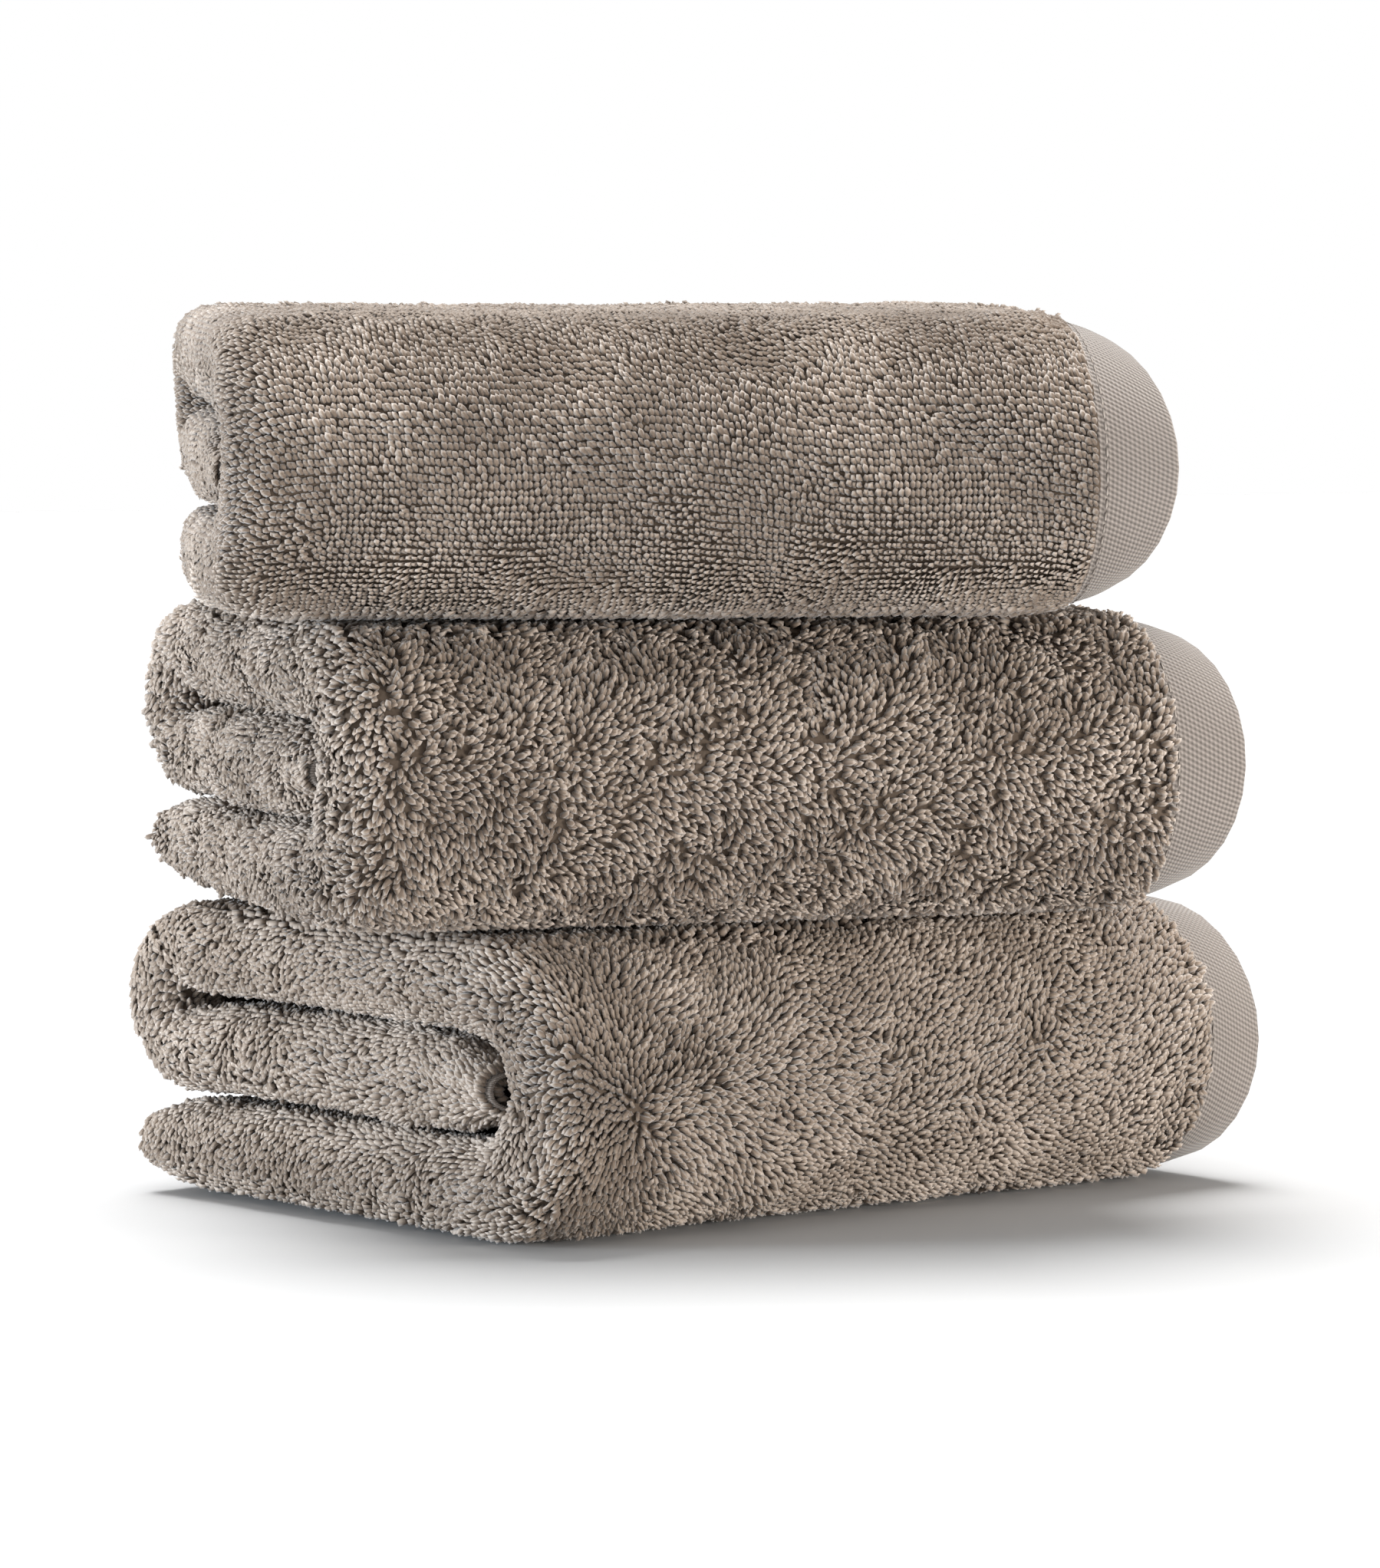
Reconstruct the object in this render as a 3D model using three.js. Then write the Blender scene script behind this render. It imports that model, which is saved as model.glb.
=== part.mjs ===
// Bath towel set: thick terry towels, each folded to a plump block, stacked with a slight twist.
// Millimetres, +Z up. X runs along the folded length, from the rounded folds to the hemmed end,
// Y runs from the big front fold to the back, and Z = 0 is the surface that the stack stands on.
//
// One towel is folded in half and in half again along its length, which gives four plies, and
// that four-ply pack is then folded in three across its width, like a letter, with the last
// third tucked inside the front fold. All its pieces share that fold, so each is drawn as an
// outline across the pack, in (x, height through the pack), and swept round the fold.

import * as THREE from 'three';

// Cloth of one towel, before folding
const CLOTH_LENGTH = 1370;
const CLOTH_WIDTH = 760;
const PLY = 9.3; // one ply with the pile of both faces, as the stack presses it

// Hems
const END_HEM = 28; // flat-woven band across each end of the cloth
const END_HEM_THICK = 4;
const SIDE_HEM = 9; // turned edge along each side of the cloth
const SIDE_HEM_THICK = 3.2;

// Sewing thread, one row along each hem
const THREAD_WIDE = 1;
const THREAD_THICK = 0.7;
const THREAD_INSET = 2; // from the edge of the hem that the row holds down
const THREAD_END = 3; // where a row stops short of the cloth's side

// Folding and stacking
const LAYER_GAP = 0.8; // between the thirds of one folded towel
const EDGE_INSET = 4; // the lower free edge stands this far in from the back fold
const TUCK = 2; // the tucked edge passes the centre of the front fold by this much
const END_SETBACK = 4; // the fold inside the hemmed end stops this far short of the hems
const SEAT = 0.3; // between pieces that touch

// Where each towel lies in the stack, from the bottom up
const TOWELS = [
  { name: 'bottom_towel', turn: 20, shift: [16, 32], shade: 0x8f8378 },
  { name: 'middle_towel', turn: 0, shift: [0, 0], shade: 0x988c80 },
  { name: 'top_towel', turn: -12, shift: [-16, -20], shade: 0xa19587 },
];

const HEM_SHADE = 0xa59b93;
const THREAD_SHADE = 0xb3aaa1;

const BEND_STEPS = 10; // facets round the front fold and round the back fold
const CURVE_STEPS = 4; // facets in a quarter of an outline's arc

const UP = Math.PI / 2;
const DOWN = -Math.PI / 2;
const UNDER = DOWN + 2 * Math.PI; // straight down again, after a turn round the front

// The pack of four plies, and the two folds across it
const PACK = 4 * PLY;
const FRONT_INNER = PACK / 2 + LAYER_GAP;
const FRONT_OUTER = FRONT_INNER + PACK;
const BACK_INNER = LAYER_GAP / 2;
const BACK_OUTER = BACK_INNER + PACK;
const TOWEL_HEIGHT = 3 * PACK + 2 * LAYER_GAP;

// Folded length: four straight plies and their three bends use up the cloth's length.
const LENGTH_IN_BENDS = Math.PI * (1.5 + 0.5 + 0.5) * PLY;
const LENGTH_PAST_BENDS = 10 * PLY + 2 * END_SETBACK;
const FOLDED_LENGTH = (CLOTH_LENGTH + LENGTH_PAST_BENDS - LENGTH_IN_BENDS) / 4;

// Folded depth: three straight panels and their two bends use up the cloth's width.
const WIDTH_IN_BENDS = Math.PI * (FRONT_INNER + BACK_INNER + PACK);
const WIDTH_PAST_BENDS = 3 * FRONT_OUTER + 2 * BACK_OUTER + EDGE_INSET - TUCK;
const FOLDED_DEPTH = (CLOTH_WIDTH + WIDTH_PAST_BENDS - WIDTH_IN_BENDS) / 3;

// Lines across the section, measured from the towel's middle
const FRONT_CENTRE = { y: FRONT_OUTER - FOLDED_DEPTH / 2, z: TOWEL_HEIGHT / 2 };
const BACK_CENTRE = { y: FOLDED_DEPTH / 2 - BACK_OUTER, z: 2 * PACK + 1.5 * LAYER_GAP };
const TUCKED_EDGE = FRONT_CENTRE.y - TUCK;
const LOWER_EDGE = FOLDED_DEPTH / 2 - EDGE_INSET;

// Lines along the pack, measured from its rounded end
const LEFT_BEND = 2 * PLY; // centre of both bends at the rounded end
const RIGHT_BEND = FOLDED_LENGTH - END_SETBACK - PLY; // centre of the bend inside the hemmed end
const HEM_LINE = FOLDED_LENGTH - END_HEM; // where the end hems start
const PILE_END = HEM_LINE - SEAT; // where the pile and the side hems stop beside them

// A place along the fold: a centre, the way out from it, and how far out the pack's inside lies.
const onMiddle = (inFromEdge) => (
  { y: TUCKED_EDGE + inFromEdge, z: BACK_CENTRE.z, angle: DOWN, inner: BACK_INNER }
);
const onBottom = (inFromEdge) => (
  { y: LOWER_EDGE - inFromEdge, z: FRONT_CENTRE.z, angle: UNDER, inner: FRONT_INNER }
);

function roundBend(centre, inner, from, to) {
  const places = [];
  for (let step = 0; step <= BEND_STEPS; step += 1) {
    const angle = THREE.MathUtils.lerp(from, to, step / BEND_STEPS);
    places.push({ y: centre.y, z: centre.z, angle, inner });
  }
  return places;
}

// The whole fold, from the tucked edge back, over the top, round the front and under,
// stopping short of both edges of the cloth by the same trim.
function wholeFold(trim) {
  return [
    onMiddle(trim),
    ...roundBend(BACK_CENTRE, BACK_INNER, DOWN, UP),
    ...roundBend(FRONT_CENTRE, FRONT_INNER, UP, UNDER),
    onBottom(trim),
  ];
}

// Sweeps an outline, drawn in (x, height through the pack), past each place of a fold.
function sweep(outline, places) {
  const steps = places.length - 1;
  const settings = { depth: steps, steps, bevelEnabled: false, curveSegments: CURVE_STEPS };
  const geometry = new THREE.ExtrudeGeometry(outline, settings);
  const { position } = geometry.attributes;
  for (let i = 0; i < position.count; i += 1) {
    const place = places[Math.round(position.getZ(i))];
    const reach = place.inner + position.getY(i);
    position.setXYZ(
      i,
      position.getX(i) - FOLDED_LENGTH / 2,
      place.y + Math.cos(place.angle) * reach,
      place.z + Math.sin(place.angle) * reach,
    );
  }
  geometry.computeVertexNormals();
  return geometry;
}

// Four plies of pile as one solid. The outer two stop at their hems, and the inner two bend
// into each other inside the hemmed end.
function pileOutline() {
  const outline = new THREE.Shape();
  outline.moveTo(LEFT_BEND, 0);
  outline.absarc(RIGHT_BEND, PLY, PLY, DOWN, UP, false);
  outline.lineTo(PILE_END, 2 * PLY);
  outline.lineTo(PILE_END, PACK);
  outline.absarc(LEFT_BEND, PACK / 2, PACK / 2, UP, UNDER, false);
  return outline;
}

// A line that follows the cloth through all four plies, on one face of it. The offset is the
// line's distance from the middle of the ply, towards the face that ends up outside.
function alongCloth(offset) {
  const line = new THREE.Path();
  line.moveTo(PILE_END, 3.5 * PLY + offset);
  line.absarc(LEFT_BEND, PACK / 2, 1.5 * PLY + offset, UP, UNDER, false);
  line.absarc(RIGHT_BEND, PLY, 0.5 * PLY + offset, DOWN, UP, false);
  line.absarc(LEFT_BEND, PACK / 2, 0.5 * PLY - offset, UNDER, UP, true);
  line.lineTo(PILE_END, 2.5 * PLY - offset);
  return line.getPoints(CURVE_STEPS);
}

const ribbonOutline = (from, to) => (
  new THREE.Shape([...alongCloth(to), ...alongCloth(from).reverse()])
);

// A flat hem on one ply, with its turned edge round.
function endHemOutline(plyMiddle) {
  const half = END_HEM_THICK / 2;
  const outline = new THREE.Shape();
  outline.moveTo(HEM_LINE, plyMiddle - half);
  outline.absarc(FOLDED_LENGTH - half, plyMiddle, half, DOWN, UP, false);
  outline.lineTo(HEM_LINE, plyMiddle + half);
  return outline;
}

// The row of stitches on an end hem, beside the pile.
function endRowOutline(plyMiddle) {
  const low = plyMiddle + END_HEM_THICK / 2 + SEAT;
  const near = HEM_LINE + THREAD_INSET;
  return new THREE.Shape([
    new THREE.Vector2(near, low),
    new THREE.Vector2(near + THREAD_WIDE, low),
    new THREE.Vector2(near + THREAD_WIDE, low + THREAD_THICK),
    new THREE.Vector2(near, low + THREAD_THICK),
  ]);
}

const cloth = (shade) => new THREE.MeshStandardMaterial({ color: shade, roughness: 0.95, metalness: 0 });

function towel({ name, turn, shift, shade }, base) {
  const group = new THREE.Group();
  const add = (piece, outline, places, colour) => {
    const mesh = new THREE.Mesh(sweep(outline, places), cloth(colour));
    mesh.name = `${name}_${piece}`;
    group.add(mesh);
  };

  add('terry_cloth', pileOutline(), wholeFold(SIDE_HEM + SEAT), shade);

  for (const [side, plyMiddle] of [['outer', 3.5 * PLY], ['inner', 2.5 * PLY]]) {
    add(`${side}_end_hem`, endHemOutline(plyMiddle), wholeFold(0), HEM_SHADE);
    add(`${side}_end_stitching`, endRowOutline(plyMiddle), wholeFold(THREAD_END), THREAD_SHADE);
  }

  const hemFace = SIDE_HEM_THICK / 2;
  const rowBase = hemFace + SEAT;
  const rowNear = SIDE_HEM - THREAD_INSET;
  const rowFar = rowNear - THREAD_WIDE;
  const hem = ribbonOutline(-hemFace, hemFace);
  const row = ribbonOutline(rowBase, rowBase + THREAD_THICK);
  add('tucked_side_hem', hem, [onMiddle(0), onMiddle(SIDE_HEM)], HEM_SHADE);
  add('tucked_side_stitching', row, [onMiddle(rowFar), onMiddle(rowNear)], THREAD_SHADE);
  add('lower_side_hem', hem, [onBottom(SIDE_HEM), onBottom(0)], HEM_SHADE);
  add('lower_side_stitching', row, [onBottom(rowNear), onBottom(rowFar)], THREAD_SHADE);

  group.rotation.z = THREE.MathUtils.degToRad(turn);
  group.position.set(shift[0], shift[1], base);
  return group;
}

const stack = new THREE.Group();
TOWELS.forEach((one, level) => {
  stack.add(towel(one, level * (TOWEL_HEIGHT + SEAT)));
});

// The stack stands with the middle of its footprint over the origin.
stack.updateMatrixWorld(true);
const middle = new THREE.Box3().setFromObject(stack, true).getCenter(new THREE.Vector3());
stack.position.set(-middle.x, -middle.y, 0);
stack.updateMatrixWorld(true);

export default stack;
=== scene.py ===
# %% [markdown]
# # Three folded bath towels
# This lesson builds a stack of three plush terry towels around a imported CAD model.
# The CAD model holds plain closed solids of the right size and place. Here each of them
# gives way to the real thing: one sheet of cloth, doubly folded, with its woven hems, its
# rows of stitches and its pile of small yarn loops.
#
# The CAD frame is loaded first, because every piece takes its place and its size from it.

# %% The frame and the tools
import math

import bpy
import numpy as np
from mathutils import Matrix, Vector
from mathutils.bvhtree import BVHTree


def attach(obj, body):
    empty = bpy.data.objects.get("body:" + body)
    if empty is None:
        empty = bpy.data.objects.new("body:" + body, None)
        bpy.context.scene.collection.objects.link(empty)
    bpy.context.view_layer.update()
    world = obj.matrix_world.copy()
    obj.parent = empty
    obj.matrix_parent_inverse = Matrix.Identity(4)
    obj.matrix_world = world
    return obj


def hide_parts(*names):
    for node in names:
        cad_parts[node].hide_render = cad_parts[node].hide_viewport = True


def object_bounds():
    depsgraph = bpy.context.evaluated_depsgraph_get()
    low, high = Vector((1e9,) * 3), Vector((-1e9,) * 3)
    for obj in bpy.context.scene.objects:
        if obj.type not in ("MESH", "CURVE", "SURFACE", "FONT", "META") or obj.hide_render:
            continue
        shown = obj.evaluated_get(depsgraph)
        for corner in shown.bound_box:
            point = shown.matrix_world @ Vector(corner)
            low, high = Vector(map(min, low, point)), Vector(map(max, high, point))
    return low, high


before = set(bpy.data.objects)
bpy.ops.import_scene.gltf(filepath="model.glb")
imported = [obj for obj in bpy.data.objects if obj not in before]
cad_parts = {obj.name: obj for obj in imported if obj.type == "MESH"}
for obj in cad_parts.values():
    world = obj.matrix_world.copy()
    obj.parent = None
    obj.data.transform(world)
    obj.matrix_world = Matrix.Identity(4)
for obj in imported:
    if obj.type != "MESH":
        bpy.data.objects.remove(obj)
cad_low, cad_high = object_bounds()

MM = 0.001
TOWELS = ("bottom_towel", "middle_towel", "top_towel")
print("CAD box, mm:", [round(x / MM) for x in cad_high - cad_low])

# %% [markdown]
# ## How the cloth is cut
# A towel is one piece of cloth, here 76 by 137 cm. Both ends have a flat-woven band without
# loops, and both sides are turned over and sewn. One ply of it, with the pile on both faces
# pressed by the stack, takes up 9.3 mm, of which the ground cloth is the middle part.
#
# It is folded in half and in half again along its length, which gives four plies. That pack
# is folded in three across its width, like a letter, and its last third is tucked into the
# big front fold. The sizes are those of the CAD solids but for two: the tucked edge reaches
# 10 mm deeper here, so that its tip fills the front fold as soft cloth does, and the lower
# edge gives up the same 10 mm. The last line prints the folded block, to compare with the
# sizes that are read from the frame.

# %% The cloth's sizes
CLOTH_LENGTH = 1370 * MM
CLOTH_WIDTH = 760 * MM
PLY = 9.3 * MM
GROUND = 3.4 * MM
END_HEM = 28 * MM
SIDE_HEM = 9 * MM
LAYER_GAP = 0.8 * MM
EDGE_INSET = 14 * MM
TUCK = 12 * MM
END_SETBACK = 4 * MM

PACK = 4 * PLY
HEIGHT = 3 * PACK + 2 * LAYER_GAP
FRONT_BEND = PACK + LAYER_GAP
BACK_BEND = (PACK + LAYER_GAP) / 2
LENGTH = (CLOTH_LENGTH + 10 * PLY + 2 * END_SETBACK - 2.5 * math.pi * PLY) / 4
FRONT_OUTER = FRONT_BEND + PACK / 2
BACK_OUTER = BACK_BEND + PACK / 2
WIDTH_PAST_BENDS = 3 * FRONT_OUTER + 2 * BACK_OUTER + EDGE_INSET - TUCK
DEPTH = (CLOTH_WIDTH + WIDTH_PAST_BENDS - math.pi * (FRONT_BEND + BACK_BEND)) / 3
print("folded towel, mm:", [round(x / MM, 1) for x in (LENGTH, DEPTH, HEIGHT)])

# %% [markdown]
# ## Where each towel lies
# The towels are turned a little against each other. Their places are read from the frame:
# the long hem at the back of a towel gives its direction, and the extent of all its pieces,
# measured along and across that direction, gives its middle.

# %% Reading a towel's place from the frame


def vertices_of(node):
    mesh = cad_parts[node].data
    found = np.empty(len(mesh.vertices) * 3, np.float32)
    mesh.vertices.foreach_get("co", found)
    return found.reshape(-1, 3).astype(float)


def turned(points, angle):
    """The points turned about Z."""
    cos, sin = math.cos(angle), math.sin(angle)
    return points @ np.array([[cos, sin, 0], [-sin, cos, 0], [0, 0, 1]])


def place_of(towel):
    """A towel's turn about Z, and the middle of its underside."""
    hem = vertices_of(f"{towel}_lower_side_hem")[:, :2]
    apart = hem - hem.mean(0)
    along = np.linalg.eigh(apart.T @ apart)[1][:, 1]
    turn = math.atan2(*(along * np.sign(along[0]))[::-1])
    nodes = [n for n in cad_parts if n.startswith(towel)]
    own = turned(np.concatenate([vertices_of(n) for n in nodes]), -turn)
    low, high = own.min(0), own.max(0)
    middle = np.array([(low[0] + high[0]) / 2, (low[1] + high[1]) / 2, low[2]])
    print(towel, "turn", round(math.degrees(turn), 2), "size, mm", ((high - low) / MM).round(1))
    return turn, turned(middle[None], turn)[0]


PLACES = {towel: place_of(towel) for towel in TOWELS}

# %% [markdown]
# ## The camera, the light and the floor
# The towels stand at about eye height for someone sitting, seen from the front and a little
# from the left, through a long lens that keeps their sides almost parallel. The light is a
# bright studio: a broad light overhead and a little behind, which leaves the front folds in
# half shade, a cool window on the left, a warm softbox on the right, and white all round,
# so that the floor falls away to white.

# %% The camera
AZIMUTH = math.radians(-19.0)
DISTANCE = 2.82
EYE_HEIGHT = 0.383
TILT = math.radians(-4.55)
PAN = math.radians(-0.08)
LENS = 171

aim = PLACES["middle_towel"][1]
camera_data = bpy.data.cameras.new("camera")
camera_data.lens = LENS
camera_data.sensor_width = 36
camera = bpy.data.objects.new("camera", camera_data)
camera.location = (
    aim[0] + math.sin(AZIMUTH) * DISTANCE,
    aim[1] - math.cos(AZIMUTH) * DISTANCE,
    EYE_HEIGHT,
)
camera.rotation_euler = (math.pi / 2 + TILT, 0, AZIMUTH + PAN)
bpy.context.scene.collection.objects.link(camera)
bpy.context.scene.camera = camera
print("the camera stands at, m:", [round(x, 2) for x in camera.location])

# %% The lamps and the white surround
MIDDLE = Vector((0, 0, cad_high.z / 2))


def lamp(name, kind, power, where, tint, **settings):
    """A lamp that faces the middle of the stack."""
    data = bpy.data.lights.new(name, kind)
    data.energy = power
    data.color = tint
    for setting, value in settings.items():
        setattr(data, setting, value)
    made = bpy.data.objects.new(name, data)
    made.location = where
    made.rotation_euler = (MIDDLE - made.location).to_track_quat("-Z", "Y").to_euler()
    bpy.context.scene.collection.objects.link(made)
    print(name, "is", round((MIDDLE - made.location).length, 2), "m from the middle of the stack")


COOL = (0.82, 0.91, 1)
WARM = (1, 0.96, 0.91)
lamp("overhead_light", "SUN", 4.9, (-0.1, 0.46, 2.1), (1, 1, 1), angle=math.radians(40))
lamp("left_window", "AREA", 40, (-2.0, -0.1, 0.26), COOL, size=0.44)
lamp("right_softbox", "AREA", 50, (1.6, -1.8, 0.3), WARM, size=0.5)

# The surround is pure white at the horizon and half as bright overhead.
ZENITH = 0.5
FADE_FROM, FADE_TO = 0.04, 0.3
world = bpy.data.worlds.new("white_surround")
bpy.context.scene.world = world
world.use_nodes = True
sky = world.node_tree
direction = sky.nodes.new("ShaderNodeTexCoord")
apart = sky.nodes.new("ShaderNodeSeparateXYZ")
dimming = sky.nodes.new("ShaderNodeMapRange")
dimming.inputs["From Min"].default_value = FADE_FROM
dimming.inputs["From Max"].default_value = FADE_TO
dimming.inputs["To Min"].default_value = 1.0
dimming.inputs["To Max"].default_value = ZENITH
sky.links.new(direction.outputs["Generated"], apart.inputs["Vector"])
sky.links.new(apart.outputs["Z"], dimming.inputs["Value"])
sky.links.new(dimming.outputs["Result"], sky.nodes["Background"].inputs["Strength"])
sky.nodes["Background"].inputs["Color"].default_value = (1, 1, 1, 1)
bpy.context.scene.view_settings.view_transform = "Standard"

# %% [markdown]
# ## A short way to write materials
# A material is a small sum over the surface: a colour for the root of a loop, another for
# its tip, and a mix between them. The class below wraps a node's socket so that such a sum
# can be written as a Python expression. Each operator adds the Math node that it stands for.

# %% The socket wrapper


class Value:
    """One output of a node, in one material."""

    def __init__(self, tree, socket):
        self.tree = tree
        self.socket = socket

    def node(self, kind, settings=None, **inputs):
        """Any other node of this tree: its settings first, then the values or links of its sockets."""
        made = self.tree.nodes.new(kind)
        for name, value in (settings or {}).items():
            setattr(made, name, value)
        for name, value in inputs.items():
            key = int(name[1:]) if name[0] == "i" and name[1:].isdigit() else name.replace("_", " ")
            if isinstance(value, Value):
                self.tree.links.new(value.socket, made.inputs[key])
            else:
                made.inputs[key].default_value = value
        return made

    def maths(self, operation, first, second=0.0):
        made = self.node("ShaderNodeMath", {"operation": operation}, i0=first, i1=second)
        return Value(self.tree, made.outputs[0])

    def __add__(self, other):
        return self.maths("ADD", self, other)

    def __sub__(self, other):
        return self.maths("SUBTRACT", self, other)

    def __mul__(self, other):
        return self.maths("MULTIPLY", self, other)

    def sine(self):
        return self.maths("SINE", self)

    def clamped(self):
        made = self.node("ShaderNodeClamp", None, Value=self)
        return Value(self.tree, made.outputs[0])

    def between(self, low, high):
        """A colour from low, where this value is 0, to high, where it is 1."""
        made = self.node("ShaderNodeMix", {"data_type": "RGBA"})
        self.tree.links.new(self.socket, made.inputs[0])
        for end, colour in ((6, low), (7, high)):
            if isinstance(colour, Value):
                self.tree.links.new(colour.socket, made.inputs[end])
            else:
                made.inputs[end].default_value = (*colour, 1)
        return Value(self.tree, made.outputs[2])


class Finish:
    """A material with one Principled shader."""

    def __init__(self, name, **constants):
        self.material = bpy.data.materials.new(name)
        self.material.use_nodes = True
        self.tree = self.material.node_tree
        self.shader = self.tree.nodes["Principled BSDF"]
        for socket, value in constants.items():
            self.shader.inputs[socket.replace("_", " ")].default_value = value

    def attribute(self, name):
        made = self.tree.nodes.new("ShaderNodeAttribute")
        made.attribute_name = name
        return Value(self.tree, made.outputs["Fac"])

    def place(self):
        made = self.tree.nodes.new("ShaderNodeTexCoord")
        return Value(self.tree, made.outputs["Object"])

    def noise(self, scale):
        """Soft patches, scale of them in a metre."""
        here = self.place()
        made = here.node("ShaderNodeTexNoise", None, Vector=here, Scale=scale, Detail=2.0)
        return Value(self.tree, made.outputs[0])

    def drive(self, socket, value):
        self.tree.links.new(value.socket, self.shader.inputs[socket])

    def bump(self, height, distance, strength):
        made = height.node("ShaderNodeBump", None, Height=height, Distance=distance, Strength=strength)
        self.tree.links.new(made.outputs[0], self.shader.inputs["Normal"])


# %% The floor
FLOOR_SIDE = 12
FLOOR_GREY = (0.53, 0.53, 0.53, 1)

bpy.ops.object.select_all(action="DESELECT")
bpy.ops.mesh.primitive_plane_add(size=FLOOR_SIDE, location=(0, 0, 0))
floor = bpy.context.active_object
floor.name = "floor"
floor_finish = Finish("pale_floor", Base_Color=FLOOR_GREY, Roughness=0.95, Specular_IOR_Level=0.0)
floor.data.materials.append(floor_finish.material)
print("floor, m:", [round(x, 1) for x in floor.dimensions[:2]])

# %% [markdown]
# ## Folding by formula
# A real towel is folded flat on a bed and pressed down. Simulating that would mean twelve
# plies that touch all over, so the fold is worked out instead: a line that runs straight and
# bends, straight and bends, first along the cloth's length and then across its width. Every
# piece of a towel is made on the flat cloth, as (along, across, off the cloth), and then
# carried through the same two folds, so all of them fit together.

# %% A line of straight and bent legs


def follow(distance, start, heading, legs):
    """Points and headings at distances along a line. A leg is (length, turn in radians)."""
    ends = np.cumsum([length for length, _ in legs])
    leg = np.searchsorted(ends[:-1], distance, side="right")
    point = np.empty((*np.shape(distance), 2))
    angle = np.empty(np.shape(distance))
    at, way, begun = np.array(start, float), heading, 0.0
    for i, (length, turn) in enumerate(legs):
        here = leg == i
        gone = distance[here] - begun
        angle[here] = way + turn * gone / length
        if turn:
            radius = length / turn
            point[here, 0] = at[0] + radius * (np.sin(angle[here]) - math.sin(way))
            point[here, 1] = at[1] + radius * (math.cos(way) - np.cos(angle[here]))
            at = at + radius * np.array(
                [math.sin(way + turn) - math.sin(way), math.cos(way) - math.cos(way + turn)]
            )
        else:
            point[here, 0] = at[0] + gone * math.cos(way)
            point[here, 1] = at[1] + gone * math.sin(way)
            at = at + length * np.array([math.cos(way), math.sin(way)])
        way += turn
        begun += length
    return point, angle


OUTER_RUN = LENGTH - 2 * PLY
INNER_RUN = LENGTH - END_SETBACK - 3 * PLY
ALONG = (
    (OUTER_RUN, 0),
    (1.5 * math.pi * PLY, math.pi),
    (INNER_RUN, 0),
    (0.5 * math.pi * PLY, math.pi),
    (INNER_RUN, 0),
    (0.5 * math.pi * PLY, -math.pi),
    (OUTER_RUN, 0),
)
FRONT_Y = FRONT_OUTER - DEPTH / 2
BACK_Y = DEPTH / 2 - BACK_OUTER
TOP_RUN = BACK_Y - FRONT_Y
LOWER_RUN = DEPTH / 2 - EDGE_INSET - FRONT_Y
ACROSS = (
    (TOP_RUN + TUCK, 0),
    (math.pi * BACK_BEND, math.pi),
    (TOP_RUN, 0),
    (math.pi * FRONT_BEND, math.pi),
    (LOWER_RUN, 0),
)
MIDDLE_LEVEL = 1.5 * PACK + LAYER_GAP
print("cloth used, mm:", round(sum(x for x, _ in ALONG) / MM), round(sum(x for x, _ in ACROSS) / MM))

# %% [markdown]
# ## From flat cloth to folded towel
# `folded` takes places on the flat cloth to places in the towel's own block. The distance
# from the outermost hem is `along`, the distance from the tucked side is `across`, and `off`
# is how far a point stands off the middle of the cloth, towards the face that ends up outside.
#
# A folded towel is no machined block, though. `soften` gives it slow swells and hollows, as
# thick cloth has. It moves all plies at a place together, so none of them cross, and it
# leaves the flat faces where the towels bear on each other in their planes.

# %% The two folds and the soft unevenness


def bell(distance, reach):
    """1 at a place on the cloth, and 0 from reach away, with a smooth fall."""
    return np.cos(np.clip(distance / reach, -1, 1) * math.pi) * 0.5 + 0.5


# The middles of the two bends across, and how much thinner or thicker the pack is there and
# at its two free edges, each with how far the change reaches.
BACK_AT = TOP_RUN + TUCK + math.pi * BACK_BEND / 2
FRONT_AT = 2 * TOP_RUN + TUCK + math.pi * (BACK_BEND + FRONT_BEND / 2)
TIP_SQUEEZE, TIP_REACH = 0.52, 34 * MM
LOWER_SQUEEZE, LOWER_REACH = 0.3, 30 * MM
BACK_SQUEEZE, BACK_REACH = 0.17, 62 * MM
FRONT_SWELL, FRONT_REACH = 0.13, 60 * MM

# 1 leaves the rounded end of the pack round, and less presses it squarer.
NOSE_POWER = {"bottom_towel": 0.85, "middle_towel": 0.74, "top_towel": 0.62}


def squared(x, out, power):
    """The pack's rounded end pressed squarer. Its middle is 2 plies in from the end."""
    from_middle = np.minimum(x - 2 * PLY, 0)
    radius = np.hypot(from_middle, out) + 1e-9
    inside = from_middle < 0
    new_x = 2 * PLY - radius * np.abs(from_middle / radius) ** power
    new_out = radius * np.sign(out) * np.abs(out / radius) ** power
    return np.where(inside, new_x, x), np.where(inside, new_out, out)


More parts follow.
